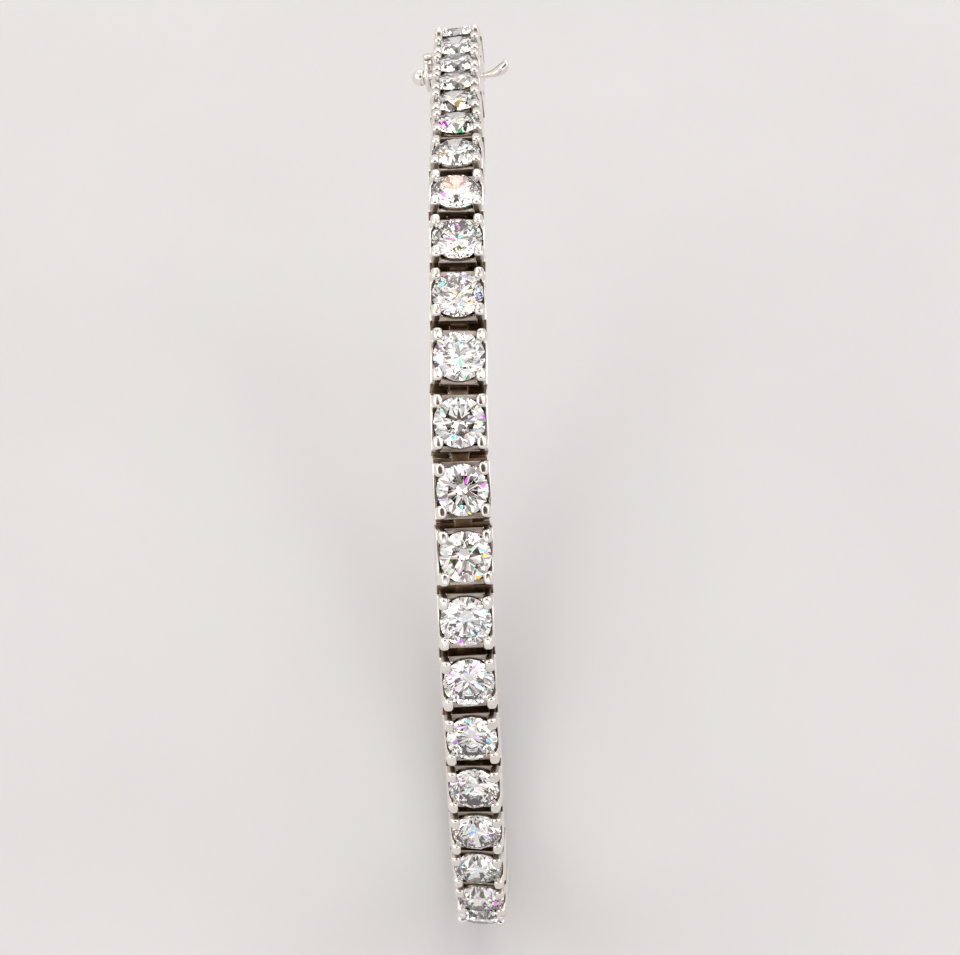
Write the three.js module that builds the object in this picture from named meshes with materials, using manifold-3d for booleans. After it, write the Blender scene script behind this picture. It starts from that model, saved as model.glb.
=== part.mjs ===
// A tennis bracelet of square box links, each with one round brilliant held by four prongs.
// Millimetres, +Z up. X runs along the wrist, and the loop stands in the Y-Z plane as it is worn.
// The origin is the highest point of the hollow, where the wrist carries the bracelet.
import * as THREE from "three";
import { mergeVertices } from "three/addons/utils/BufferGeometryUtils.js";
import Module from "manifold-3d";

const wasm = await Module();
wasm.setup();

// ---- Driving dimensions ----

const LINK_COUNT = 42; // stones round the whole loop, the clasp's three included
const CLASP_STONES = 3; // two on the box and one on the tongue
const BOX_STONES = 2;
const FIRST_BOX_STONE = 9; // counted from the stone that faces the viewer
const PITCH = 4.25; // from one hinge pin to the next

const LINK = { width: 3.8, length: 3.86, wall: 0.3, railTop: 2.3, endTop: 1.95 };
const STONE = { radius: 1.7, girdle: 2.32, girdleHeight: 0.08, tableRadius: 0.95, table: 2.86, culet: 0.9, sides: 8 };
const PRONG = { x: 1.46, y: 1.32, width: 0.54, length: 0.82, bottom: 2.0, top: 2.95, taper: 0.85 };
const PIN = { y: -1.3, z: 0.8, radius: 0.24, sides: 6 };
const LUG = { width: 1.2, eyeRadius: 0.68, holeRadius: 0.44, neckHalf: 0.42, slotWidth: 1.74, slotTop: 1.72 };

const BOX = { cavityHalf: 1.35, cavityBottom: 0.26, cavityTop: 0.84, cavityStart: 1.0, slotLength: 1.1, notch: 0.5 };
const BLADE = { halfWidth: 1.1, bottom: 0.42, top: 0.68, reach: 4.6 };
const BALL = { x: -2.95, y: 5.85, z: 1.15, radius: 0.65, neckRadius: 0.27, sides: 12 };
const TAB = { y: -2.13, width: 0.9, rootX: 1.3, bendX: 2.3, outX: 3.85, z: 0.55, outZ: 1.62, thickness: 0.34 };
const HINGE = { x: -2.4, y: 0.3, z: 1.15, pinRadius: 0.14, earHalf: 0.36, earInner: 0.52, earOuter: 0.82 };
const CATCH = { wire: 0.17, armHalf: 0.25, innerHalf: 0.8, barrelRadius: 0.38, barrelHole: 0.24, barrelHalf: 0.42 };
const SWING_SLACK = 0.1; // the bow's centre lies this far past the ball, so that it clears the ball as it swings

// How the loop lies, stretch by stretch from the stone that faces the viewer: how many links it has, how many
// degrees each turns from the one before, and the roll about their own thread that they reach at its end.
const STRETCHES = [
  { name: "front, rising", links: 7, turn: 7.5, roll: 3 },
  { name: "over the top", links: 5, turn: 1, roll: 8 },
  { name: "far corner", links: 6, turn: 20, roll: 1 },
  { name: "back", links: 10, turn: 3, roll: 0 },
  { name: "low corner", links: 5, turn: 19.7, roll: 5 },
  { name: "front, falling", links: 9, turn: 6, roll: -4 },
];
const FIRST_LEAN = 3; // degrees by which the first link leans away from the viewer
const VIEWER = { elevation: 52, distance: 159 }; // the back of the loop lies hidden behind its front from here
const SWAY = { bow: 0.0009, height: 17, shift: 1.6 }; // a shallow curve sideways, flattest at this height
const PLAY = { roll: 1.3, rollStep: 2.4, side: 0.05, sideStep: 1.7 }; // each link sits a little differently

// ---- Materials ----

const goldMaterial = () => new THREE.MeshStandardMaterial({ color: 0xd9d3c8, roughness: 0.22, metalness: 1.0 });

// ---- Solids ----

function solid(geometry) {
  const bare = geometry.index ? geometry.toNonIndexed() : geometry.clone();
  bare.deleteAttribute("normal");
  bare.deleteAttribute("uv");
  const merged = mergeVertices(bare, 1e-5);
  return new wasm.Manifold(
    new wasm.Mesh({
      numProp: 3,
      vertProperties: new Float32Array(merged.attributes.position.array),
      triVerts: new Uint32Array(merged.index.array),
    }),
  );
}

function geometryOf(manifold) {
  const mesh = manifold.getMesh();
  const geometry = new THREE.BufferGeometry();
  geometry.setAttribute("position", new THREE.BufferAttribute(mesh.vertProperties, 3));
  geometry.setIndex(new THREE.BufferAttribute(mesh.triVerts, 1));
  return geometry;
}

const join = (parts) => parts.reduce((whole, part) => whole.add(part));

function block(x0, x1, y0, y1, z0, z1) {
  const box = new THREE.BoxGeometry(x1 - x0, y1 - y0, z1 - z0);
  return solid(box.translate((x0 + x1) / 2, (y0 + y1) / 2, (z0 + z1) / 2));
}

function rod(radius, length, sides, axis) {
  const cylinder = new THREE.CylinderGeometry(radius, radius, length, sides);
  if (axis === "x") cylinder.rotateZ(Math.PI / 2);
  if (axis === "z") cylinder.rotateX(Math.PI / 2);
  return cylinder;
}

// An outline drawn in the Y-Z plane and made into a plate across X.
function plateAcrossX(shape, width, curveSegments) {
  const plate = new THREE.ExtrudeGeometry(shape, { depth: width, bevelEnabled: false, curveSegments });
  plate.translate(0, 0, -width / 2);
  plate.rotateZ(Math.PI / 2).rotateY(Math.PI / 2);
  return solid(plate);
}

// ---- The plain link, in its own frame: x across, y along the loop, z outward, 0 on the skin side ----

function stoneAt(y) {
  const profile = [
    new THREE.Vector2(0, STONE.culet),
    new THREE.Vector2(STONE.radius, STONE.girdle),
    new THREE.Vector2(STONE.radius, STONE.girdle + STONE.girdleHeight),
    new THREE.Vector2(STONE.tableRadius, STONE.table),
    new THREE.Vector2(0, STONE.table),
  ];
  const lathe = new THREE.LatheGeometry(profile, STONE.sides, Math.PI / STONE.sides);
  lathe.rotateX(Math.PI / 2);
  lathe.translate(0, y, 0);
  return solid(lathe);
}

function prongsAt(y) {
  const height = PRONG.top - PRONG.bottom;
  const half = Math.SQRT1_2; // a four-sided cylinder of this radius is a unit square across
  const prongs = [];
  for (const side of [-1, 1]) {
    for (const end of [-1, 1]) {
      const prong = new THREE.CylinderGeometry(half * PRONG.taper, half, height, 4, 1, false, Math.PI / 4);
      prong.rotateX(Math.PI / 2);
      prong.scale(PRONG.width, PRONG.length, 1);
      prong.translate(side * PRONG.x, y + end * PRONG.y, PRONG.bottom + height / 2);
      prongs.push(solid(prong));
    }
  }
  return prongs;
}

function hingePin() {
  const pin = rod(PIN.radius, LINK.width - LINK.wall, PIN.sides, "x");
  return solid(pin.translate(0, PIN.y, PIN.z));
}

function pinSlot() {
  const half = LUG.slotWidth / 2;
  return block(-half, half, -LINK.length, -LINK.length / 2 + LINK.wall + 0.05, -1, LUG.slotTop);
}

// The lug leaves the far end of a link, and its eye goes round the next link's pin.
function lugFrom(wallY, eyeY) {
  const shape = new THREE.Shape();
  shape.moveTo(wallY, PIN.z - LUG.neckHalf);
  shape.lineTo(eyeY - LUG.eyeRadius * 0.8, PIN.z - LUG.neckHalf);
  shape.absarc(eyeY, PIN.z, LUG.eyeRadius, -Math.PI * 0.75, Math.PI * 0.75, false);
  shape.lineTo(wallY, PIN.z + LUG.neckHalf);
  shape.closePath();
  const hole = new THREE.Path();
  hole.absarc(eyeY, PIN.z, LUG.holeRadius, 0, Math.PI * 2, true);
  shape.holes.push(hole);
  return plateAcrossX(shape, LUG.width, 3);
}

// Walls from y0 to y1, open through the middle.
function walls(y0, y1) {
  const half = LINK.width / 2;
  const inner = half - LINK.wall;
  const outer = block(-half, half, y0, y1, 0, LINK.railTop);
  return outer.subtract(block(-inner, inner, y0 + LINK.wall, y1 - LINK.wall, -1, LINK.railTop + 1));
}

function endLowering(y) {
  const half = PRONG.x - PRONG.width * 0.4;
  return block(-half, half, y - LINK.wall - 0.1, y + LINK.wall + 0.1, LINK.endTop, LINK.railTop + 1);
}

function plainLink() {
  const end = LINK.length / 2;
  const frame = walls(-end, end).subtract(endLowering(-end)).subtract(endLowering(end)).subtract(pinSlot());
  const lug = lugFrom(end - LINK.wall * 0.6, PIN.y + PITCH);
  return join([frame, hingePin(), lug, ...prongsAt(0), stoneAt(0)]);
}

// ---- The clasp ----

function ballStud() {
  const ball = new THREE.SphereGeometry(BALL.radius, BALL.sides, BALL.sides / 2);
  ball.translate(BALL.x, BALL.y, BALL.z);
  const reach = -LINK.width / 2 - BALL.x + 0.1;
  const neck = rod(BALL.neckRadius, reach, BALL.sides / 2, "x");
  neck.translate(BALL.x + reach / 2, BALL.y, BALL.z);
  return join([solid(ball), solid(neck)]);
}

function claspBox() {
  const half = LINK.width / 2;
  const start = -LINK.length / 2;
  const mouth = start + PITCH * (BOX_STONES - 1) + LINK.length;
  const body = block(-half, half, start, mouth, 0, LINK.railTop)
    .subtract(block(-half + LINK.wall, half - LINK.wall, start + LINK.wall, 0.2, -1, LINK.endTop))
    .subtract(pinSlot())
    .subtract(endLowering(start))
    .subtract(endLowering(mouth))
    .subtract(endLowering((start + mouth) / 2));
  const cavity = block(
    -BOX.cavityHalf, BOX.cavityHalf, BOX.cavityStart, mouth + 1, BOX.cavityBottom, BOX.cavityTop,
  );
  const slotStart = BOX.cavityStart + LINK.wall;
  const sideSlot = block(
    0, half + 1, slotStart, slotStart + BOX.slotLength, BOX.cavityBottom + 0.08, BOX.cavityTop - 0.08,
  );
  const tabNotch = block(0, half + 1, mouth - BOX.notch, mouth + 1, BOX.cavityBottom, BOX.cavityTop);
  const stones = [];
  for (let i = 0; i < BOX_STONES; i += 1) {
    stones.push(stoneAt(i * PITCH), ...prongsAt(i * PITCH));
  }
  return join([body.subtract(cavity).subtract(sideSlot).subtract(tabNotch), hingePin(), ballStud(), ...stones]);
}

// The thumb tab leaves the blade in the gap before the box and curls out and up on the right.
function thumbTab() {
  const shape = new THREE.Shape();
  const low = TAB.z - TAB.thickness / 2;
  const high = TAB.z + TAB.thickness / 2;
  shape.moveTo(TAB.rootX, low);
  shape.lineTo(TAB.bendX, low);
  shape.quadraticCurveTo(TAB.outX, low, TAB.outX, TAB.outZ);
  shape.quadraticCurveTo(TAB.outX - 1.4 * TAB.thickness, high, TAB.bendX, high);
  shape.lineTo(TAB.rootX, high);
  shape.closePath();
  const tab = new THREE.ExtrudeGeometry(shape, { depth: TAB.width, bevelEnabled: false, curveSegments: 5 });
  tab.rotateX(Math.PI / 2);
  tab.translate(0, TAB.y + TAB.width / 2, 0);
  return solid(tab);
}

// Two ears on the left of the tongue with an upright pin between them, which carries the safety catch.
function catchHinge() {
  const parts = [];
  for (const up of [-1, 1]) {
    const z0 = HINGE.z + up * HINGE.earInner;
    const z1 = HINGE.z + up * HINGE.earOuter;
    parts.push(
      block(
        HINGE.x - HINGE.earHalf, -LINK.width / 2 + 0.1,
        HINGE.y - HINGE.earHalf, HINGE.y + HINGE.earHalf,
        Math.min(z0, z1), Math.max(z0, z1),
      ),
    );
  }
  const pin = rod(HINGE.pinRadius, 2 * HINGE.earInner + 0.2, PIN.sides, "z");
  parts.push(solid(pin.translate(HINGE.x, HINGE.y, HINGE.z)));
  return join(parts);
}

function claspTongue() {
  const end = LINK.length / 2;
  const frame = walls(-end, end).subtract(endLowering(-end)).subtract(endLowering(end));
  const bladeEnd = -end - BLADE.reach;
  const blade = block(-BLADE.halfWidth, BLADE.halfWidth, bladeEnd, -end + 0.2, BLADE.bottom, BLADE.top);
  const lug = lugFrom(end - LINK.wall * 0.6, PIN.y + PITCH);
  return join([frame, blade, thumbTab(), catchHinge(), lug, ...prongsAt(0), stoneAt(0)]);
}

// A wire bow in the Y-Z plane, round the ball's neck, with a barrel on the hinge pin. Its frame is the tongue's.
function safetyCatch() {
  const centre = BALL.y - PITCH * BOX_STONES - HINGE.y - SWING_SLACK;
  const outerHalf = CATCH.innerHalf + 2 * CATCH.wire;
  const bow = new THREE.Shape();
  bow.absarc(centre, 0, outerHalf, 0, Math.PI * 2, false);
  const eye = new THREE.Path();
  eye.absarc(centre, 0, CATCH.innerHalf, 0, Math.PI * 2, true);
  bow.holes.push(eye);
  const ring = plateAcrossX(bow, 2 * CATCH.wire, 6);
  const arm = block(
    -CATCH.wire, CATCH.wire,
    centre + CATCH.innerHalf + CATCH.wire, -(CATCH.barrelHole + CATCH.barrelRadius) / 2,
    -CATCH.armHalf, CATCH.armHalf,
  );
  const barrel = new THREE.Shape();
  barrel.absarc(0, 0, CATCH.barrelRadius, 0, Math.PI * 2, false);
  const bore = new THREE.Path();
  bore.absarc(0, 0, CATCH.barrelHole, 0, Math.PI * 2, true);
  barrel.holes.push(bore);
  const tube = new THREE.ExtrudeGeometry(barrel, {
    depth: 2 * CATCH.barrelHalf, bevelEnabled: false, curveSegments: 5,
  });
  tube.translate(0, 0, -CATCH.barrelHalf);
  return join([ring, arm, solid(tube)]).translate(HINGE.x, HINGE.y, HINGE.z);
}

// ---- The loop ----

const radians = THREE.MathUtils.degToRad;

// The hinge points in the plane of the loop: x is the height across the view, y the depth away from the viewer.
// The walk ends close to its start, and what is left over is shared out along it.
function walk() {
  const points = [];
  const here = new THREE.Vector2(0, 0);
  let heading = FIRST_LEAN;
  for (const stretch of STRETCHES) {
    for (let i = 0; i < stretch.links; i += 1) {
      points.push(here.clone());
      here.x += PITCH * Math.cos(radians(heading));
      here.y += PITCH * Math.sin(radians(heading));
      heading += stretch.turn;
    }
  }
  return points.map((point, i) => point.addScaledVector(here, -i / points.length));
}

function loopCurve(scale) {
  const seen = walk();
  const middle = seen.reduce((sum, point) => sum.add(point), new THREE.Vector2()).divideScalar(seen.length);
  const nearest = Math.min(...seen.map((point) => point.y));
  const tilt = radians(VIEWER.elevation);
  const up = new THREE.Vector3(0, Math.sin(tilt), Math.cos(tilt));
  const away = new THREE.Vector3(0, Math.cos(tilt), -Math.sin(tilt));
  const points = seen.map((point) => {
    const spread = (VIEWER.distance + point.y - nearest) / VIEWER.distance;
    const bow = SWAY.bow * (point.x / spread - SWAY.height) ** 2;
    const place = up.clone().multiplyScalar((point.x - middle.x) * scale);
    return place.addScaledVector(away, (point.y - middle.y) * scale).setX((bow - SWAY.shift) * spread);
  });
  const curve = new THREE.CatmullRomCurve3(points, true, "catmullrom", 0.5);
  curve.arcLengthDivisions = 2000;
  return curve;
}

const curve = loopCurve((LINK_COUNT * PITCH) / loopCurve(1).getLength());
const total = curve.getLength();

function pinPoint(index) {
  const along = PIN.y + index * PITCH;
  const point = curve.getPointAt(THREE.MathUtils.euclideanModulo(along / total, 1));
  point.x += PLAY.side * Math.sin(PLAY.sideStep * index);
  return point;
}

// The roll at a link, which changes evenly along each stretch.
function rollAt(index) {
  let left = THREE.MathUtils.euclideanModulo(index, LINK_COUNT);
  let before = STRETCHES[STRETCHES.length - 1].roll;
  for (const stretch of STRETCHES) {
    if (left <= stretch.links) {
      return THREE.MathUtils.lerp(before, stretch.roll, left / stretch.links);
    }
    left -= stretch.links;
    before = stretch.roll;
  }
  return before;
}

// The frame of a stretch of links whose pins are at stones first and last: origin under the first stone.
function linkFrame(first, last) {
  const from = pinPoint(first);
  const to = pinPoint(last);
  const along = to.clone().sub(from).normalize();
  const middle = from.clone().add(to).multiplyScalar(0.5);
  const outward = new THREE.Vector3(0, middle.y, middle.z);
  const across = along.clone().cross(outward).normalize();
  outward.crossVectors(across, along);
  const roll = radians(rollAt((first + last) / 2) + PLAY.roll * Math.sin(PLAY.rollStep * first));
  const x = across.clone().multiplyScalar(Math.cos(roll)).addScaledVector(outward, Math.sin(roll));
  const z = x.clone().cross(along);
  const slack = (from.distanceTo(to) - PITCH * (last - first)) / 2;
  const origin = from.addScaledVector(along, slack - PIN.y).addScaledVector(z, -PIN.z);
  return new THREE.Matrix4().makeBasis(x, along, z).setPosition(origin);
}

// ---- The bracelet ----

const bracelet = new THREE.Group();

function place(name, geometry, frame) {
  const mesh = new THREE.Mesh(geometry, goldMaterial());
  mesh.name = name;
  mesh.applyMatrix4(frame);
  bracelet.add(mesh);
}

const linkGeometry = geometryOf(plainLink());
const firstLink = FIRST_BOX_STONE + CLASP_STONES;
const linkFrames = [];
for (let i = 0; i < LINK_COUNT - CLASP_STONES; i += 1) {
  linkFrames.push(linkFrame(firstLink + i, firstLink + i + 1));
  place(`link_${String(i + 1).padStart(2, "0")}`, linkGeometry, linkFrames[i]);
}

const claspFrame = linkFrame(FIRST_BOX_STONE, FIRST_BOX_STONE + CLASP_STONES);
const tongueFrame = claspFrame.clone().multiply(new THREE.Matrix4().makeTranslation(0, BOX_STONES * PITCH, 0));
place("clasp_box", geometryOf(claspBox()), claspFrame);
place("clasp_tongue", geometryOf(claspTongue()), tongueFrame);
place("safety_catch", geometryOf(safetyCatch()), tongueFrame);

// The hollow's highest point, on the skin side of the topmost link, becomes the origin.
const skinPoints = linkFrames.map((frame) => new THREE.Vector3().setFromMatrixPosition(frame));
const top = skinPoints.reduce((best, point) => (point.z > best.z ? point : best));
bracelet.position.copy(top).negate();

export default bracelet;
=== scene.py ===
"""The looks of a tennis bracelet: white gold box links, round brilliants, and a box clasp with a catch.

Every length in the tables below is in millimetres in a link's own frame: x across the link, y along the
bracelet, z outward from the skin. Blender's scene is in metres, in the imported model's frame.
"""

import math
import random

import bmesh
import bpy
from mathutils import Matrix, Vector


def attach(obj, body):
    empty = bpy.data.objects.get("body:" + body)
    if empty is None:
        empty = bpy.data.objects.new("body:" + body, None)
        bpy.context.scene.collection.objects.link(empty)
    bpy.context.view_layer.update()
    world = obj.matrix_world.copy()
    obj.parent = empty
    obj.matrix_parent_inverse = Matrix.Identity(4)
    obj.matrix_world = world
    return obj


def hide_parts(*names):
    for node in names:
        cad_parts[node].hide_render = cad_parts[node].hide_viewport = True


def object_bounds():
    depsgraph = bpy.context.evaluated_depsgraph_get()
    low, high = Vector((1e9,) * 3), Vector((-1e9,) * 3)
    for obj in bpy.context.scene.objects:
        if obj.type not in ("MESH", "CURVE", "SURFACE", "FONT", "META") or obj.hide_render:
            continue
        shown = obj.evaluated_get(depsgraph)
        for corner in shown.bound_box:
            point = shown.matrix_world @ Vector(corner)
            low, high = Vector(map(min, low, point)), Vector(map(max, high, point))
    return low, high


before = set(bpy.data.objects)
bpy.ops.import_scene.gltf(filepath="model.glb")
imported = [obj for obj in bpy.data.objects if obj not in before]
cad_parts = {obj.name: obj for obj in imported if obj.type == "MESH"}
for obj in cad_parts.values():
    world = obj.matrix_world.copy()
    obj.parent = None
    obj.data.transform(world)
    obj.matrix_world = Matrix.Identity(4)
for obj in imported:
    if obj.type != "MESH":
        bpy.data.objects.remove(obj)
cad_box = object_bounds()

MM = 0.001
LINKS = sorted(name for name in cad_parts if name.startswith("link_"))
FACING_LINK = "link_31"  # its stone looks straight at the viewer

# ---- Driving dimensions ----

HALF_WIDTH = 1.9
HALF_LENGTH = 1.93
PITCH = 4.25
BOX_STONES = 2
TONGUE_Y = BOX_STONES * PITCH  # the tongue's frame is this far along from the box's

GIRDLE_Z = 2.36
STONE_RADIUS = 1.74
RAIL_TOP = 2.12
END_TOP = 2.14
PRONG_TOP = 2.95
PIN_Y = -1.3
PIN_Z = 0.8
EYE_Y = PIN_Y + PITCH
# The lip is a dark sheet of painted shade that half closes the gap between two links.
LIP_Y = HALF_LENGTH + 0.2  # a ledge at pin height that half closes the gap to the next link
LIP_Z = 0.8

CAMERA_ELEVATION = math.radians(52)
CAMERA_DISTANCE = 0.159
CAMERA_RIGHT = 0.00115  # the lens axis passes this far to the right of the facing stone
CAMERA_UP = 0.00083
CAMERA_LENS = 90.7  # on a 36 mm wide sensor


# ---- Camera ----


def new_node(tree, kind, **values):
    node = tree.nodes.new(kind)
    for key, value in values.items():
        setattr(node, key, value)
    return node


# ---- The links' frames, read from the CAD solids ----


def flat_directions(mesh):
    """The directions that a solid's larger flat faces look in, each exactly as its largest face has it."""
    groups = []
    for face in sorted(mesh.polygons, key=lambda face: -face.area):
        for group in groups:
            if abs(face.normal.dot(group[0])) > 0.999:
                group[1] += face.area
                break
        else:
            groups.append([face.normal.copy(), face.area])
    whole = sum(group[1] for group in groups)
    return [group[0] for group in groups if group[1] > 0.05 * whole]


def middle_of(name):
    points = [vertex.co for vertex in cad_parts[name].data.vertices]
    return sum(points, Vector()) / len(points)


def link_frame(previous, name, following):
    """The matrix from a link's own frame, in metres, to the scene's, from its flat faces and neighbours."""
    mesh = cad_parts[name].data
    points = [vertex.co for vertex in mesh.vertices]
    directions = flat_directions(mesh)
    across = max(directions, key=lambda d: abs(d.x))
    if across.x < 0:
        across = -across
    heading = middle_of(following) - middle_of(previous)
    along = max(directions, key=lambda d: abs(d.dot(heading)))
    if along.dot(heading) < 0:
        along = -along
    outward = across.cross(along).normalized()
    right = max(p.dot(across) for p in points) - HALF_WIDTH * MM
    start = min(p.dot(along) for p in points) + HALF_LENGTH * MM
    base = min(p.dot(outward) for p in points)
    matrix = Matrix((across, along, outward)).transposed().to_4x4()
    matrix.translation = across * right + along * start + outward * base
    return matrix


LOOP = ["clasp_tongue", *LINKS, "clasp_box", "clasp_tongue"]
frames = {LOOP[i]: link_frame(*LOOP[i - 1 : i + 2]) for i in range(1, len(LOOP) - 1)}
box_frame = frames["clasp_box"]
tongue_frame = box_frame @ Matrix.Translation((0, TONGUE_Y * MM, 0))

facing_stone = frames[FACING_LINK] @ Vector((0, 0, GIRDLE_Z * MM))
view_forward = Vector((0, math.cos(CAMERA_ELEVATION), -math.sin(CAMERA_ELEVATION)))
view_up = Vector((0, math.sin(CAMERA_ELEVATION), math.cos(CAMERA_ELEVATION)))


def add_camera():
    data = bpy.data.cameras.new("camera")
    data.lens = CAMERA_LENS
    data.sensor_width = 36
    data.clip_start = 0.005
    data.clip_end = 20
    camera = bpy.data.objects.new("camera", data)
    aim = facing_stone + Vector((CAMERA_RIGHT, 0, 0)) + view_up * CAMERA_UP
    camera.location = aim - view_forward * CAMERA_DISTANCE
    camera.rotation_euler = (math.pi / 2 - CAMERA_ELEVATION, 0, 0)
    bpy.context.collection.objects.link(camera)
    bpy.context.scene.camera = camera


add_camera()


# ---- Materials ----


def gold_material(name, dark, light, gloss_range):
    """White gold with faint clouding, uneven gloss and tiny scratches."""
    material = bpy.data.materials.new(name)
    material.use_nodes = True
    tree = material.node_tree
    shader = tree.nodes["Principled BSDF"]
    shader.inputs["Metallic"].default_value = 1.0
    place = new_node(tree, "ShaderNodeTexCoord")

    cloud = new_node(tree, "ShaderNodeTexNoise")
    cloud.inputs["Scale"].default_value = 900
    cloud.inputs["Detail"].default_value = 4
    tree.links.new(place.outputs["Object"], cloud.inputs["Vector"])
    tone = new_node(tree, "ShaderNodeValToRGB")
    tone.color_ramp.elements[0].position = 0.3
    tone.color_ramp.elements[0].color = (*dark, 1)
    tone.color_ramp.elements[1].position = 0.7
    tone.color_ramp.elements[1].color = (*light, 1)
    tree.links.new(cloud.outputs["Fac"], tone.inputs["Fac"])
    tree.links.new(tone.outputs["Color"], shader.inputs["Base Color"])

    haze = new_node(tree, "ShaderNodeTexNoise")
    haze.inputs["Scale"].default_value = 2600
    haze.inputs["Detail"].default_value = 5
    tree.links.new(place.outputs["Object"], haze.inputs["Vector"])
    gloss = new_node(tree, "ShaderNodeMapRange")
    gloss.inputs["From Min"].default_value = 0.3
    gloss.inputs["From Max"].default_value = 0.7
    gloss.inputs["To Min"].default_value, gloss.inputs["To Max"].default_value = gloss_range
    tree.links.new(haze.outputs["Fac"], gloss.inputs["Value"])
    tree.links.new(gloss.outputs["Result"], shader.inputs["Roughness"])

    scratch = new_node(tree, "ShaderNodeTexNoise")
    scratch.inputs["Scale"].default_value = 5200
    scratch.inputs["Detail"].default_value = 2
    stretch = new_node(tree, "ShaderNodeMapping")
    stretch.inputs["Scale"].default_value = (1.0, 0.12, 1.0)
    tree.links.new(place.outputs["Object"], stretch.inputs["Vector"])
    tree.links.new(stretch.outputs["Vector"], scratch.inputs["Vector"])
    bump = new_node(tree, "ShaderNodeBump")
    bump.inputs["Strength"].default_value = 0.10
    bump.inputs["Distance"].default_value = 0.00002
    tree.links.new(scratch.outputs["Fac"], bump.inputs["Height"])
    tree.links.new(bump.outputs["Normal"], shader.inputs["Normal"])
    return material


def stone_material(name, tint):
    """A clear brilliant, with a tint so slight that it only shows between neighbours."""
    material = bpy.data.materials.new(name)
    material.use_nodes = True
    tree = material.node_tree
    shader = tree.nodes["Principled BSDF"]
    shader.inputs["Transmission Weight"].default_value = 1.0
    shader.inputs["Roughness"].default_value = 0.0
    shader.inputs["IOR"].default_value = 2.42
    place = new_node(tree, "ShaderNodeTexCoord")
    veil = new_node(tree, "ShaderNodeTexNoise")
    veil.inputs["Scale"].default_value = 700
    veil.inputs["Detail"].default_value = 3
    tree.links.new(place.outputs["Object"], veil.inputs["Vector"])
    tone = new_node(tree, "ShaderNodeValToRGB")
    tone.color_ramp.elements[0].position = 0.35
    tone.color_ramp.elements[0].color = (*[0.985 * c for c in tint], 1)
    tone.color_ramp.elements[1].position = 0.65
    tone.color_ramp.elements[1].color = (*tint, 1)
    tree.links.new(veil.outputs["Fac"], tone.inputs["Fac"])
    tree.links.new(tone.outputs["Color"], shader.inputs["Base Color"])
    return material


def floor_material():
    material = bpy.data.materials.new("pale_floor")
    material.use_nodes = True
    tree = material.node_tree
    shader = tree.nodes["Principled BSDF"]
    shader.inputs["Roughness"].default_value = 0.7
    place = new_node(tree, "ShaderNodeTexCoord")
    grain = new_node(tree, "ShaderNodeTexNoise")
    grain.inputs["Scale"].default_value = 40
    grain.inputs["Detail"].default_value = 6
    tree.links.new(place.outputs["Object"], grain.inputs["Vector"])
    tone = new_node(tree, "ShaderNodeValToRGB")
    tone.color_ramp.elements[0].color = (0.60, 0.592, 0.596, 1)
    tone.color_ramp.elements[1].color = (0.65, 0.643, 0.647, 1)
    tree.links.new(grain.outputs["Fac"], tone.inputs["Fac"])
    tree.links.new(tone.outputs["Color"], shader.inputs["Base Color"])
    return material


# Two darker copies of the white gold are painted shade: deep in the gaps and under stones, half on low walls.
GOLD = gold_material("white_gold", (0.81, 0.77, 0.715), (0.93, 0.90, 0.86), (0.08, 0.2))
SHADE_PAINTED_GOLD = gold_material(
    "white_gold_painted_shade", (0.09, 0.062, 0.038), (0.33, 0.235, 0.145), (0.28, 0.45)
)
HALF_SHADE_GOLD = gold_material("white_gold_painted_half_shade", (0.36, 0.31, 0.27), (0.55, 0.49, 0.43), (0.25, 0.4))
GOLD_AND_PAINTED_SHADES = [GOLD, SHADE_PAINTED_GOLD, HALF_SHADE_GOLD]
POLISHED, DEEP_SHADE, HALF_SHADE = range(3)
TINTS = [(1.0, 1.0, 1.0), (1.0, 0.992, 0.97), (1.0, 0.985, 0.985), (0.985, 0.992, 1.0)]
STONES = [stone_material(f"diamond_{i}", tint) for i, tint in enumerate(TINTS)]


# ---- Mesh building, in millimetres in a link's frame ----


def shade_index_at(centre, normal):
    """Painted shade: deep low in the gap between two links and in under a stone, half higher up and on low
    walls.
    """
    y = (centre.y + PITCH / 2) % PITCH - PITCH / 2
    if abs(centre.x) > HALF_WIDTH or centre.z > 2.8:
        return POLISHED
    if abs(y) > HALF_LENGTH - 0.12 and abs(normal.y) > 0.6:
        return DEEP_SHADE if centre.z < 1.7 else HALF_SHADE
    if centre.z < 2.25 and centre.x * normal.x + y * normal.y < -0.9:
        return DEEP_SHADE
    if abs(centre.x) < 1.25 and 1.4 < abs(y) and normal.z > 0.3:
        return HALF_SHADE
    return POLISHED


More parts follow.
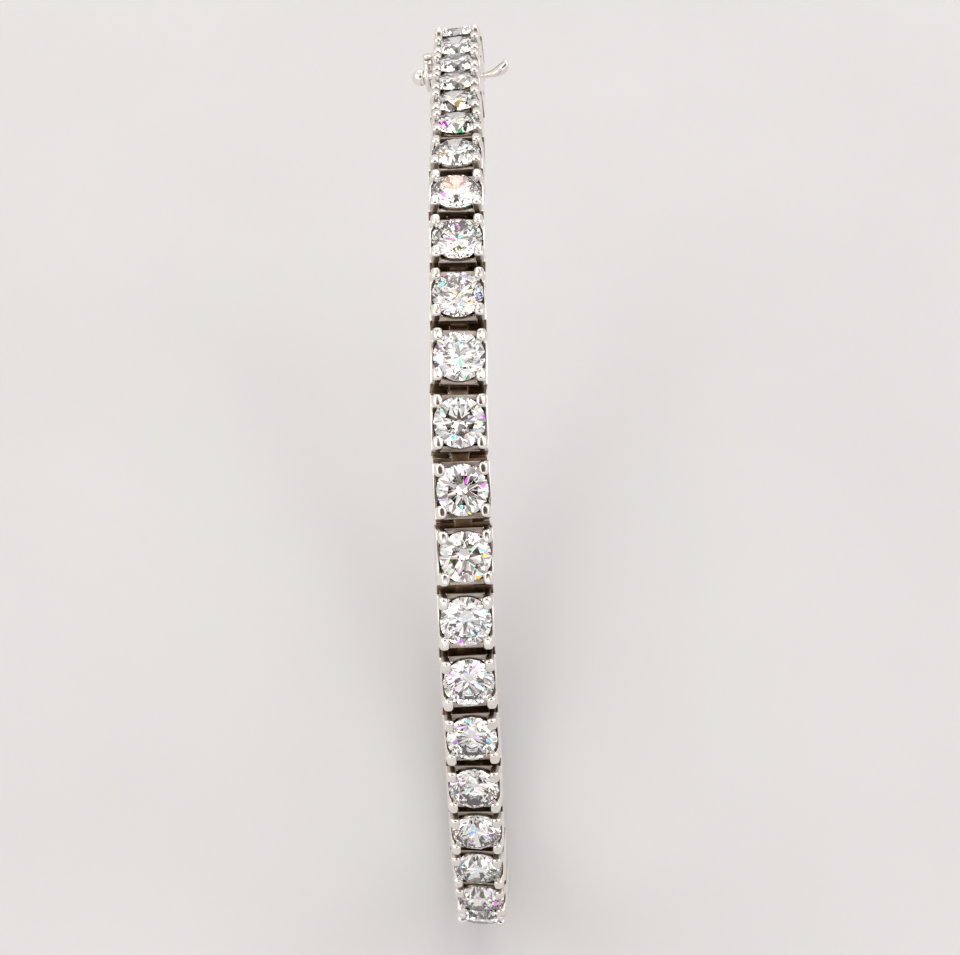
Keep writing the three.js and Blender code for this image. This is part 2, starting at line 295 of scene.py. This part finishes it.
class Shape:
    """A mesh built from closed parts."""

    def __init__(self):
        self.bm = bmesh.new()

    def take(self, part, shaded=False):
        """Moves another bmesh's faces into this one."""
        data = bpy.data.meshes.new("part")
        for face in part.faces:
            face.smooth = True
            # Parts marked shaded are painted with the deep shade.
            face.material_index = DEEP_SHADE if shaded else POLISHED
        part.to_mesh(data)
        part.free()
        self.bm.from_mesh(data)
        bpy.data.meshes.remove(data)

    def rounded_block(self, low, high, bevel, segments=2, move=None, shaded=False):
        part = bmesh.new()
        bmesh.ops.create_cube(part, size=1)
        size = [b - a for a, b in zip(low, high)]
        middle = [(a + b) / 2 for a, b in zip(low, high)]
        bmesh.ops.scale(part, vec=size, verts=part.verts)
        bmesh.ops.translate(part, vec=middle, verts=part.verts)
        bmesh.ops.bevel(
            part, geom=part.edges[:], offset=bevel, segments=segments, profile=0.5, affect="EDGES"
        )
        if move:
            for vertex in part.verts:
                vertex.co = move(vertex.co)
        self.take(part, shaded=shaded)

    def turned(self, profile, sides, matrix, shaded=False):
        """A profile of (radius, height) rows turned about z, then placed by a matrix."""
        part = bmesh.new()
        rings = []
        for radius, height in profile:
            if radius == 0:
                rings.append([part.verts.new((0, 0, height))])
                continue
            turn = [2 * math.pi * i / sides for i in range(sides)]
            ring = [(radius * math.cos(a), radius * math.sin(a), height) for a in turn]
            rings.append([part.verts.new(point) for point in ring])
        closed = profile[0][0] != 0
        pairs = list(zip(rings, rings[1:] + ([rings[0]] if closed else [])))
        for lower, upper in pairs:
            for i in range(sides):
                j = (i + 1) % sides
                corners = [lower[i % len(lower)], lower[j % len(lower)]]
                corners += [upper[j % len(upper)], upper[i % len(upper)]]
                unique = list(dict.fromkeys(corners))
                if len(unique) > 2:
                    part.faces.new(unique)
        bmesh.ops.recalc_face_normals(part, faces=part.faces)
        bmesh.ops.transform(part, matrix=matrix, verts=part.verts)
        self.take(part, shaded=shaded)

    def swept(self, centres, sections):
        """Rows of closed sections joined in order, with both ends capped."""
        part = bmesh.new()
        rings = []
        for centre, section in zip(centres, sections):
            rings.append([part.verts.new(centre + offset) for offset in section])
        for lower, upper in zip(rings, rings[1:]):
            for i in range(len(lower)):
                j = (i + 1) % len(lower)
                part.faces.new([lower[i], lower[j], upper[j], upper[i]])
        part.faces.new(rings[0][::-1])
        part.faces.new(rings[-1])
        bmesh.ops.recalc_face_normals(part, faces=part.faces)
        self.take(part)

    def object(self, name, matrix):
        """The finished piece, in metres, with sharp creases kept sharp and painted shade in its recesses and
        gaps.
        """
        mesh = bpy.data.meshes.new(name)
        # Other faces get their painted shade, if any, from where they face.
        for face in self.bm.faces:
            if face.material_index == POLISHED:
                face.material_index = shade_index_at(face.calc_center_median(), face.normal)
        bmesh.ops.scale(self.bm, vec=(MM, MM, MM), verts=self.bm.verts)
        self.bm.to_mesh(mesh)
        self.bm.free()
        for gold_or_shade in GOLD_AND_PAINTED_SHADES:
            mesh.materials.append(gold_or_shade)
        mesh.set_sharp_from_angle(angle=math.radians(50))
        piece = bpy.data.objects.new(name, mesh)
        piece.matrix_world = matrix
        bpy.context.collection.objects.link(piece)
        return piece


def copy_piece(piece, name, matrix):
    mesh = piece.data.copy()
    mesh.name = name
    twin = bpy.data.objects.new(name, mesh)
    twin.matrix_world = matrix
    bpy.context.collection.objects.link(twin)
    return twin


# ---- The setting ----


def rounded_section(half_x, half_y, power, count=20):
    """A closed outline between an ellipse and a rectangle."""
    points = []
    for i in range(count):
        angle = 2 * math.pi * (i + 0.5) / count
        c, s = math.cos(angle), math.sin(angle)
        x = half_x * math.copysign(abs(c) ** (2 / power), c)
        y = half_y * math.copysign(abs(s) ** (2 / power), s)
        points.append(Vector((x, y, 0)))
    return points


def add_prongs(shape, y):
    """Four corner posts that lean a little over the stone, with a worn round shoulder and a small flat top."""
    half_x, half_y = 0.35, 0.47
    crown = 0.27  # the height of the shoulder
    for side in (-1, 1):
        for end in (-1, 1):
            centres, sections = [], []
            rows = [(0.15, 1.0), (2.1, 1.0), (PRONG_TOP - crown, 0.99)]
            for i in range(1, 6):
                angle = math.pi / 2 * i / 5
                rows.append((PRONG_TOP - crown * (1 - math.sin(angle)), 0.99 - 0.52 * (1 - math.cos(angle))))
            for z, share in rows:
                lean = 0.10 * max(0.0, (z - 2.0) / (PRONG_TOP - 2.0)) ** 1.5
                centres.append(Vector((side * (1.51 - lean), y + end * (1.44 - 0.6 * lean), z)))
                power = 3.2 if share > 0.9 else 2.6
                sections.append(rounded_section(half_x * share ** 1.3, half_y * share ** 0.85, power))
            shape.swept(centres, sections)


def add_rails(shape, y0, y1):
    for side in (-1, 1):
        x0, x1 = sorted((side * 1.72, side * HALF_WIDTH))
        shape.rounded_block((x0, y0, 0.0), (x1, y1, RAIL_TOP), 0.05, 2)
        x0, x1 = sorted((side * 1.3, side * (HALF_WIDTH - 0.04)))
        shape.rounded_block((x0, y0 + 0.04, 0.02), (x1, y1 - 0.04, 0.3), 0.06, 2)


def add_end_wall(shape, y, end, slot):
    """A low wall between two prongs, dipped in the middle, with a slot for the next link's lug if asked."""
    outer = y + end * (HALF_LENGTH - 0.02)
    inner = y + end * (HALF_LENGTH - 0.43)
    y0, y1 = sorted((outer, inner))

    def dip(co):
        share = max(0.0, co.z / END_TOP)
        return Vector((co.x, co.y, co.z - 0.12 * share * math.cos(min(1.0, abs(co.x) / 1.2) * math.pi / 2)))

    # The slotted walls, the strip under them and the lip are painted with the deep shade; the strip and the
    # lip reach into the gap between links as sheets of painted shade.
    if slot:
        edge = y - HALF_LENGTH
        for x0, x1 in ((-1.8, -0.66), (0.66, 1.8)):
            shape.rounded_block((x0, y0, 0.02), (x1, y1, 1.75), 0.05, 2, shaded=True)
            shape.rounded_block((x0, edge - 0.15, 0.22), (x1, edge + 0.2, 0.46), 0.05, 2, shaded=True)
        low = 1.68
    else:
        low = 0.02
        lip = y + LIP_Y
        shape.rounded_block((-1.8, lip - 0.4, LIP_Z - 0.15), (1.8, lip, LIP_Z + 0.15), 0.05, 2, shaded=True)
    shape.rounded_block((-1.3, y0, low), (1.3, y1, END_TOP), 0.06, 3, dip)


def add_seat(shape, y):
    """The bearing under the stone's girdle, painted with the deep shade that falls under the stone."""
    profile = [(1.62, 2.20), (1.70, 2.08), (1.66, 1.80), (1.48, 1.80), (1.44, 1.98)]
    shape.turned(profile, 40, Matrix.Translation((0, y, 0)), shaded=True)


def add_pin(shape):
    turn = Matrix.Translation((0, PIN_Y, PIN_Z)) @ Matrix.Rotation(math.pi / 2, 4, "Y")
    profile = [(0, -1.8), (0.2, -1.8), (0.24, -1.76), (0.24, 1.76), (0.2, 1.8), (0, 1.8)]
    # The pin is painted with the deep shade of the gap between links.
    shape.turned(profile, 20, turn, shaded=True)


def add_lug(shape):
    """The knuckle that reaches into the next link, with its eye round that link's pin; painted deep shade."""
    shape.rounded_block((-0.6, 1.70, 0.38), (0.6, EYE_Y - 0.46, 1.22), 0.08, 3, shaded=True)
    turn = Matrix.Translation((0, EYE_Y, PIN_Z)) @ Matrix.Rotation(math.pi / 2, 4, "Y")
    profile = [(0.44, -0.56), (0.64, -0.6), (0.68, -0.54), (0.68, 0.54), (0.64, 0.6), (0.44, 0.56)]
    shape.turned(profile, 28, turn, shaded=True)


def link_setting(name, matrix):
    shape = Shape()
    add_rails(shape, -HALF_LENGTH + 0.06, HALF_LENGTH - 0.06)
    add_end_wall(shape, 0, -1, True)
    add_end_wall(shape, 0, 1, False)
    add_seat(shape, 0)
    add_prongs(shape, 0)
    add_pin(shape)
    add_lug(shape)
    return shape.object(name, matrix)


# ---- The stone: a round brilliant of 57 facets ----


def brilliant(name, matrix):
    table_radius = 0.56 * STONE_RADIUS / math.cos(math.pi / 8)
    crown_base, pavilion_top = GIRDLE_Z + 0.04, GIRDLE_Z - 0.04
    table_z = crown_base + 0.30 * STONE_RADIUS
    slope = (table_z - crown_base) / (STONE_RADIUS - table_radius)
    depth = math.tan(math.radians(40.8))
    half = math.pi / 8

    def ring(radius, z, count, offset=0.0):
        angles = [offset + 2 * math.pi * i / count for i in range(count)]
        return [bm.verts.new((radius * math.cos(a), radius * math.sin(a), z)) for a in angles]

    def on_main(radius, base, rise):
        """The height at which a point halfway between two mains lies on both of them."""
        return base + rise * (STONE_RADIUS - radius * math.cos(half))

    bm = bmesh.new()
    star_radius = 0.5 * (table_radius * math.cos(half) + STONE_RADIUS)
    split_radius = 0.24 * STONE_RADIUS
    table = ring(table_radius, table_z, 8)
    star = ring(star_radius, on_main(star_radius, crown_base, slope), 8, half)
    upper = ring(STONE_RADIUS, crown_base, 16)
    lower = ring(STONE_RADIUS, pavilion_top, 16)
    split = ring(split_radius, on_main(split_radius, pavilion_top, -depth), 8, half)
    culet = bm.verts.new((0, 0, pavilion_top - depth * STONE_RADIUS))
    bm.faces.new(table)
    for i in range(8):
        j = (i + 1) % 8
        before = (i - 1) % 8
        main, between, following = 2 * i, 2 * i + 1, (2 * i + 2) % 16
        bm.faces.new([table[i], star[i], table[j]])
        bm.faces.new([table[i], star[before], upper[main], star[i]])
        bm.faces.new([star[i], upper[main], upper[between]])
        bm.faces.new([star[i], upper[between], upper[following]])
        bm.faces.new([culet, split[i], lower[main], split[before]])
        bm.faces.new([split[i], lower[between], lower[main]])
        bm.faces.new([split[i], lower[following], lower[between]])
    for i in range(16):
        j = (i + 1) % 16
        bm.faces.new([upper[i], lower[i], lower[j], upper[j]])
    bmesh.ops.recalc_face_normals(bm, faces=bm.faces)
    bmesh.ops.scale(bm, vec=(MM, MM, MM), verts=bm.verts)
    mesh = bpy.data.meshes.new(name)
    bm.to_mesh(mesh)
    bm.free()
    piece = bpy.data.objects.new(name, mesh)
    piece.matrix_world = matrix
    bpy.context.collection.objects.link(piece)
    return piece


# ---- The clasp ----

BALL = Vector((-2.95, 5.85, 1.15))
BALL_RADIUS = 0.65
MOUTH_Y = PITCH + HALF_LENGTH
HINGE = Vector((-2.4, 0.3, 1.15))
WIRE = 0.17
BOW_RADIUS = 0.8 + WIRE
BOW_Y = BALL.y - TONGUE_Y - HINGE.y - 0.1


def add_ball_stud(shape):
    turn = Matrix.Translation(BALL) @ Matrix.Rotation(math.pi / 2, 4, "Y")
    rows = 16
    angles = [math.pi * i / rows for i in range(rows + 1)]
    ball = [(BALL_RADIUS * math.sin(a), -BALL_RADIUS * math.cos(a)) for a in angles]
    ball[0] = (0, -BALL_RADIUS)
    ball[-1] = (0, BALL_RADIUS)
    shape.turned(ball, 28, turn)
    reach = -HALF_WIDTH - BALL.x
    neck = [(0, 0.2), (0.27, 0.2), (0.27, reach - 0.22), (0.33, reach - 0.14)]
    neck += [(0.46, reach - 0.04), (0.46, reach + 0.12), (0, reach + 0.12)]
    shape.turned(neck, 24, turn)


def clasp_box_metal(name, matrix):
    shape = Shape()
    start, end = -HALF_LENGTH + 0.06, MOUTH_Y
    for side in (-1, 1):
        x0, x1 = sorted((side * 1.66, side * HALF_WIDTH))
        if side < 0:
            shape.rounded_block((x0, start, 0.0), (x1, end, RAIL_TOP), 0.06, 3)
            continue
        slot_y0, slot_y1, slot_z0, slot_z1 = 1.3, 2.4, 0.36, 0.78
        shape.rounded_block((x0, start, slot_z1), (x1, end, RAIL_TOP), 0.05, 3)
        shape.rounded_block((x0, start, 0.0), (x1, end - 0.5, slot_z0), 0.05, 3)
        shape.rounded_block((x0, start, slot_z0 - 0.1), (x1, slot_y0, slot_z1 + 0.1), 0.05, 3)
        shape.rounded_block((x0, slot_y1, slot_z0 - 0.1), (x1, end - 0.5, slot_z1 + 0.1), 0.05, 3)
    shape.rounded_block((-1.8, 0.3, 0.0), (1.8, end - 0.01, 0.24), 0.04, 2)
    shape.rounded_block((-1.8, 0.9, 0.86), (1.8, end - 0.01, 1.02), 0.04, 2)
    for i in range(BOX_STONES):
        y = i * PITCH
        add_seat(shape, y)
        add_prongs(shape, y)
        if i > 0:
            add_end_wall_high(shape, y, -1)
        add_end_wall_high(shape, y, 1)
    add_end_wall(shape, 0, -1, True)
    add_pin(shape)
    add_ball_stud(shape)
    return shape.object(name, matrix)


def add_end_wall_high(shape, y, end):
    """An end wall of the clasp that starts above the cavity for the blade."""
    y0, y1 = sorted((y + end * (HALF_LENGTH - 0.02), y + end * (HALF_LENGTH - 0.26)))
    shape.rounded_block((-1.7, y0, 0.9), (1.7, y1, END_TOP - 0.06), 0.06, 3)


def add_thumb_tab(shape):
    """A curved tab on the right that a thumb presses to free the tongue."""
    start, bend, tip = Vector((1.3, -2.13, 0.55)), Vector((3.75, -2.13, 0.5)), Vector((3.72, -2.13, 1.62))
    centres, sections = [], []
    steps = 18
    for i in range(steps + 1):
        t = i / steps
        centre = start * (1 - t) ** 2 + bend * 2 * t * (1 - t) + tip * t * t
        heading = ((bend - start) * (1 - t) + (tip - bend) * t).normalized()
        normal = Vector((-heading.z, 0, heading.x))
        swell = math.sin(math.pi * min(1.0, max(0.0, t - 0.25) / 0.75))
        half_width = 0.43 + 0.16 * swell - 0.10 * t
        half_thick = 0.17 + 0.24 * swell - 0.06 * t
        round_end = math.sqrt(max(0.0, 1 - max(0.0, (t - 0.9) / 0.1) ** 2 * 0.8))
        section = []
        for k in range(16):
            a = 2 * math.pi * k / 16
            c, s = math.cos(a), math.sin(a)
            across = half_width * round_end * math.copysign(abs(c) ** 0.5, c)
            through = half_thick * round_end * math.copysign(abs(s) ** 0.7, s)
            section.append(Vector((0, across, 0)) + normal * through)
        centres.append(centre)
        sections.append(section)
    shape.swept(centres, sections)


def clasp_tongue_metal(name, matrix):
    shape = Shape()
    add_rails(shape, -HALF_LENGTH + 0.06, HALF_LENGTH - 0.06)
    add_end_wall(shape, 0, -1, False)
    add_end_wall(shape, 0, 1, False)
    add_seat(shape, 0)
    add_prongs(shape, 0)
    add_lug(shape)
    shape.rounded_block((-1.1, -HALF_LENGTH - 4.6, 0.42), (1.1, -HALF_LENGTH + 0.2, 0.68), 0.06, 2)
    add_thumb_tab(shape)
    for up in (-1, 1):
        z0, z1 = sorted((HINGE.z + up * 0.52, HINGE.z + up * 0.82))
        turn = Matrix.Translation((HINGE.x, HINGE.y, 0))
        shape.turned([(0, z0), (0.3, z0), (0.36, z0 + 0.06), (0.36, z1 - 0.06), (0.3, z1), (0, z1)], 24, turn)
        low = (HINGE.x, HINGE.y - 0.3, z0 + 0.01)
        high = (-HALF_WIDTH + 0.08, HINGE.y + 0.3, z1 - 0.01)
        shape.rounded_block(low, high, 0.04, 2)
    pin = [(0, HINGE.z - 0.6), (0.14, HINGE.z - 0.6), (0.14, HINGE.z + 0.6), (0, HINGE.z + 0.6)]
    shape.turned(pin, 16, Matrix.Translation((HINGE.x, HINGE.y, 0)))
    return shape.object(name, matrix)


def safety_bow(name, matrix):
    """The wire bow that closes round the neck of the ball stud."""
    shape = Shape()
    turn = Matrix.Translation(HINGE + Vector((0, BOW_Y, 0))) @ Matrix.Rotation(math.pi / 2, 4, "Y")
    wire = [2 * math.pi * i / 14 for i in range(14)]
    profile = [(BOW_RADIUS + WIRE * math.cos(a), WIRE * math.sin(a)) for a in wire]
    shape.turned(profile, 48, turn)
    for z in (-0.16, 0.16):
        a = HINGE + Vector((0, BOW_Y + BOW_RADIUS - 0.02, z))
        length = -0.26 - (BOW_Y + BOW_RADIUS - 0.02)
        rod = Matrix.Translation(a) @ Matrix.Rotation(-math.pi / 2, 4, "X")
        shape.turned([(0, 0), (0.14, 0.02), (0.14, length), (0, length + 0.02)], 16, rod)
    barrel = [(0.24, -0.42), (0.34, -0.42), (0.38, -0.38), (0.38, 0.38), (0.34, 0.42), (0.24, 0.42)]
    shape.turned(barrel, 28, Matrix.Translation(HINGE))
    return shape.object(name, matrix)


# ---- Making the pieces ----

chance = random.Random(11)
first_setting = None
first_stone = brilliant("stone_pattern", Matrix.Identity(4))


def place_stone(name, matrix):
    """A brilliant turned by chance in its seat, as a setter leaves it."""
    turn = Matrix.Rotation(chance.uniform(0, math.pi / 4), 4, "Z")
    tilt = Matrix.Rotation(math.radians(chance.uniform(-1.5, 1.5)), 4, "X")
    level = Matrix.Translation((0, 0, GIRDLE_Z * MM))
    stone = copy_piece(first_stone, name, matrix @ level @ tilt @ level.inverted() @ turn)
    stone.data.materials.append(chance.choice(STONES))
    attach(stone, "root")


for name in LINKS:
    number = name.split("_")[1]
    if first_setting is None:
        first_setting = link_setting(f"setting_{number}", frames[name])
        setting = first_setting
    else:
        setting = copy_piece(first_setting, f"setting_{number}", frames[name])
    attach(setting, "root")
    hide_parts(name)
    place_stone(f"stone_{number}", frames[name])

box_metal = clasp_box_metal("clasp_box_metal", box_frame)
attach(box_metal, "root")
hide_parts("clasp_box")
for i in range(BOX_STONES):
    place_stone(f"clasp_stone_{i + 1}", box_frame @ Matrix.Translation((0, i * PITCH * MM, 0)))

tongue_metal = clasp_tongue_metal("clasp_tongue_metal", tongue_frame)
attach(tongue_metal, "root")
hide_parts("clasp_tongue")
place_stone(f"clasp_stone_{BOX_STONES + 1}", tongue_frame)

bow = safety_bow("safety_bow", tongue_frame)
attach(bow, "safety_catch")
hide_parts("safety_catch")

bpy.data.objects.remove(first_stone)


# ---- Floor and light ----


def add_floor():
    size = 3.0
    mesh = bpy.data.meshes.new("floor")
    z = cad_box[0][2] - 0.0006
    corners = [(-size, -size, z), (size, -size, z), (size, size, z), (-size, size, z)]
    mesh.from_pydata(corners, [], [(0, 1, 2, 3)])
    mesh.materials.append(floor_material())
    floor = bpy.data.objects.new("floor", mesh)
    bpy.context.collection.objects.link(floor)


def add_softbox(name, place, size, power, colour):
    data = bpy.data.lights.new(name, "AREA")
    data.shape = "RECTANGLE"
    data.size, data.size_y = size
    data.energy = power
    data.color = colour
    lamp = bpy.data.objects.new(name, data)
    lamp.location = place
    lamp.rotation_euler = (facing_stone - Vector(place)).to_track_quat("-Z", "Y").to_euler()
    bpy.context.collection.objects.link(lamp)


def add_world():
    """A pale studio: light walls low down, overhead bright and dark cards with small tinted spots for the
    stones, and a darker patch in the direction that the photo's camera looks from."""
    world = bpy.data.worlds.new("studio")
    bpy.context.scene.world = world
    world.use_nodes = True
    tree = world.node_tree
    background = tree.nodes["Background"]
    place = new_node(tree, "ShaderNodeTexCoord")
    cards = new_node(tree, "ShaderNodeTexNoise")
    cards.inputs["Scale"].default_value = 2.6
    cards.inputs["Detail"].default_value = 1.0
    tree.links.new(place.outputs["Generated"], cards.inputs["Vector"])
    tone = new_node(tree, "ShaderNodeValToRGB")
    ramp = tone.color_ramp
    ramp.elements[0].position = 0.38
    ramp.elements[0].color = (0.19, 0.176, 0.168, 1)
    ramp.elements[1].position = 0.52
    ramp.elements[1].color = (1.24, 1.21, 1.18, 1)
    tree.links.new(cards.outputs["Fac"], tone.inputs["Fac"])
    tint = new_node(tree, "ShaderNodeTexNoise")
    tint.inputs["Scale"].default_value = 5.0
    tint.inputs["Detail"].default_value = 0.0
    tree.links.new(place.outputs["Generated"], tint.inputs["Vector"])
    hue = new_node(tree, "ShaderNodeValToRGB")
    hue.color_ramp.elements[0].position = 0.38
    hue.color_ramp.elements[0].color = (0.93, 0.96, 1.0, 1)
    hue.color_ramp.elements[1].position = 0.62
    hue.color_ramp.elements[1].color = (1.0, 0.94, 0.90, 1)
    tree.links.new(tint.outputs["Fac"], hue.inputs["Fac"])
    coloured = new_node(tree, "ShaderNodeMix", data_type="RGBA", blend_type="MULTIPLY")
    coloured.inputs["Factor"].default_value = 1.0
    tree.links.new(tone.outputs["Color"], coloured.inputs["A"])
    tree.links.new(hue.outputs["Color"], coloured.inputs["B"])

    spots = new_node(tree, "ShaderNodeTexNoise")
    spots.inputs["Scale"].default_value = 11.0
    spots.inputs["Detail"].default_value = 0.0
    tree.links.new(place.outputs["Generated"], spots.inputs["Vector"])
    spot_mask = new_node(tree, "ShaderNodeMapRange")
    spot_mask.inputs["From Min"].default_value = 0.66
    spot_mask.inputs["From Max"].default_value = 0.72
    tree.links.new(spots.outputs["Fac"], spot_mask.inputs["Value"])
    spot_hue = new_node(tree, "ShaderNodeHueSaturation")
    spot_hue.inputs["Saturation"].default_value = 2.0
    spot_hue.inputs["Value"].default_value = 2.5
    tree.links.new(tint.outputs["Color"], spot_hue.inputs["Color"])
    glints = new_node(tree, "ShaderNodeMix", data_type="RGBA")
    tree.links.new(spot_mask.outputs["Result"], glints.inputs["Factor"])
    tree.links.new(coloured.outputs["Result"], glints.inputs["A"])
    tree.links.new(spot_hue.outputs["Color"], glints.inputs["B"])

    lens = new_node(tree, "ShaderNodeVectorMath", operation="DOT_PRODUCT")
    lens.inputs[1].default_value = -view_forward
    tree.links.new(place.outputs["Generated"], lens.inputs[0])
    near = new_node(tree, "ShaderNodeMapRange", interpolation_type="SMOOTHSTEP")
    near.inputs["From Min"].default_value = math.cos(math.radians(24))
    near.inputs["From Max"].default_value = math.cos(math.radians(12))
    tree.links.new(lens.outputs["Value"], near.inputs["Value"])
    camera_side = new_node(tree, "ShaderNodeMix", data_type="RGBA")
    camera_side.inputs["B"].default_value = (0.095, 0.060, 0.034, 1)
    tree.links.new(near.outputs["Result"], camera_side.inputs["Factor"])
    tree.links.new(glints.outputs["Result"], camera_side.inputs["A"])

    height = new_node(tree, "ShaderNodeSeparateXYZ")
    tree.links.new(place.outputs["Generated"], height.inputs["Vector"])
    low = new_node(tree, "ShaderNodeMapRange", interpolation_type="SMOOTHSTEP")
    low.inputs["From Min"].default_value = 0.42
    low.inputs["From Max"].default_value = 0.25
    tree.links.new(height.outputs["Z"], low.inputs["Value"])
    wall = new_node(tree, "ShaderNodeMix", data_type="RGBA")
    wall.inputs["B"].default_value = (0.62, 0.615, 0.61, 1)
    tree.links.new(low.outputs["Result"], wall.inputs["Factor"])
    tree.links.new(camera_side.outputs["Result"], wall.inputs["A"])
    tree.links.new(wall.outputs["Result"], background.inputs["Color"])
    background.inputs["Strength"].default_value = 1.35


def add_lights():
    add_softbox("softbox_left", (-0.42, -0.10, 0.34), (0.30, 0.30), 0.55, (1.0, 0.985, 0.96))
    add_softbox("softbox_right", (0.42, -0.05, 0.30), (0.30, 0.30), 0.4, (0.97, 0.985, 1.0))
    add_softbox("softbox_back", (0.05, 0.45, 0.36), (0.5, 0.25), 0.5, (1.0, 0.99, 0.98))


add_floor()
add_world()
add_lights()
bpy.context.scene.view_settings.view_transform = "Standard"
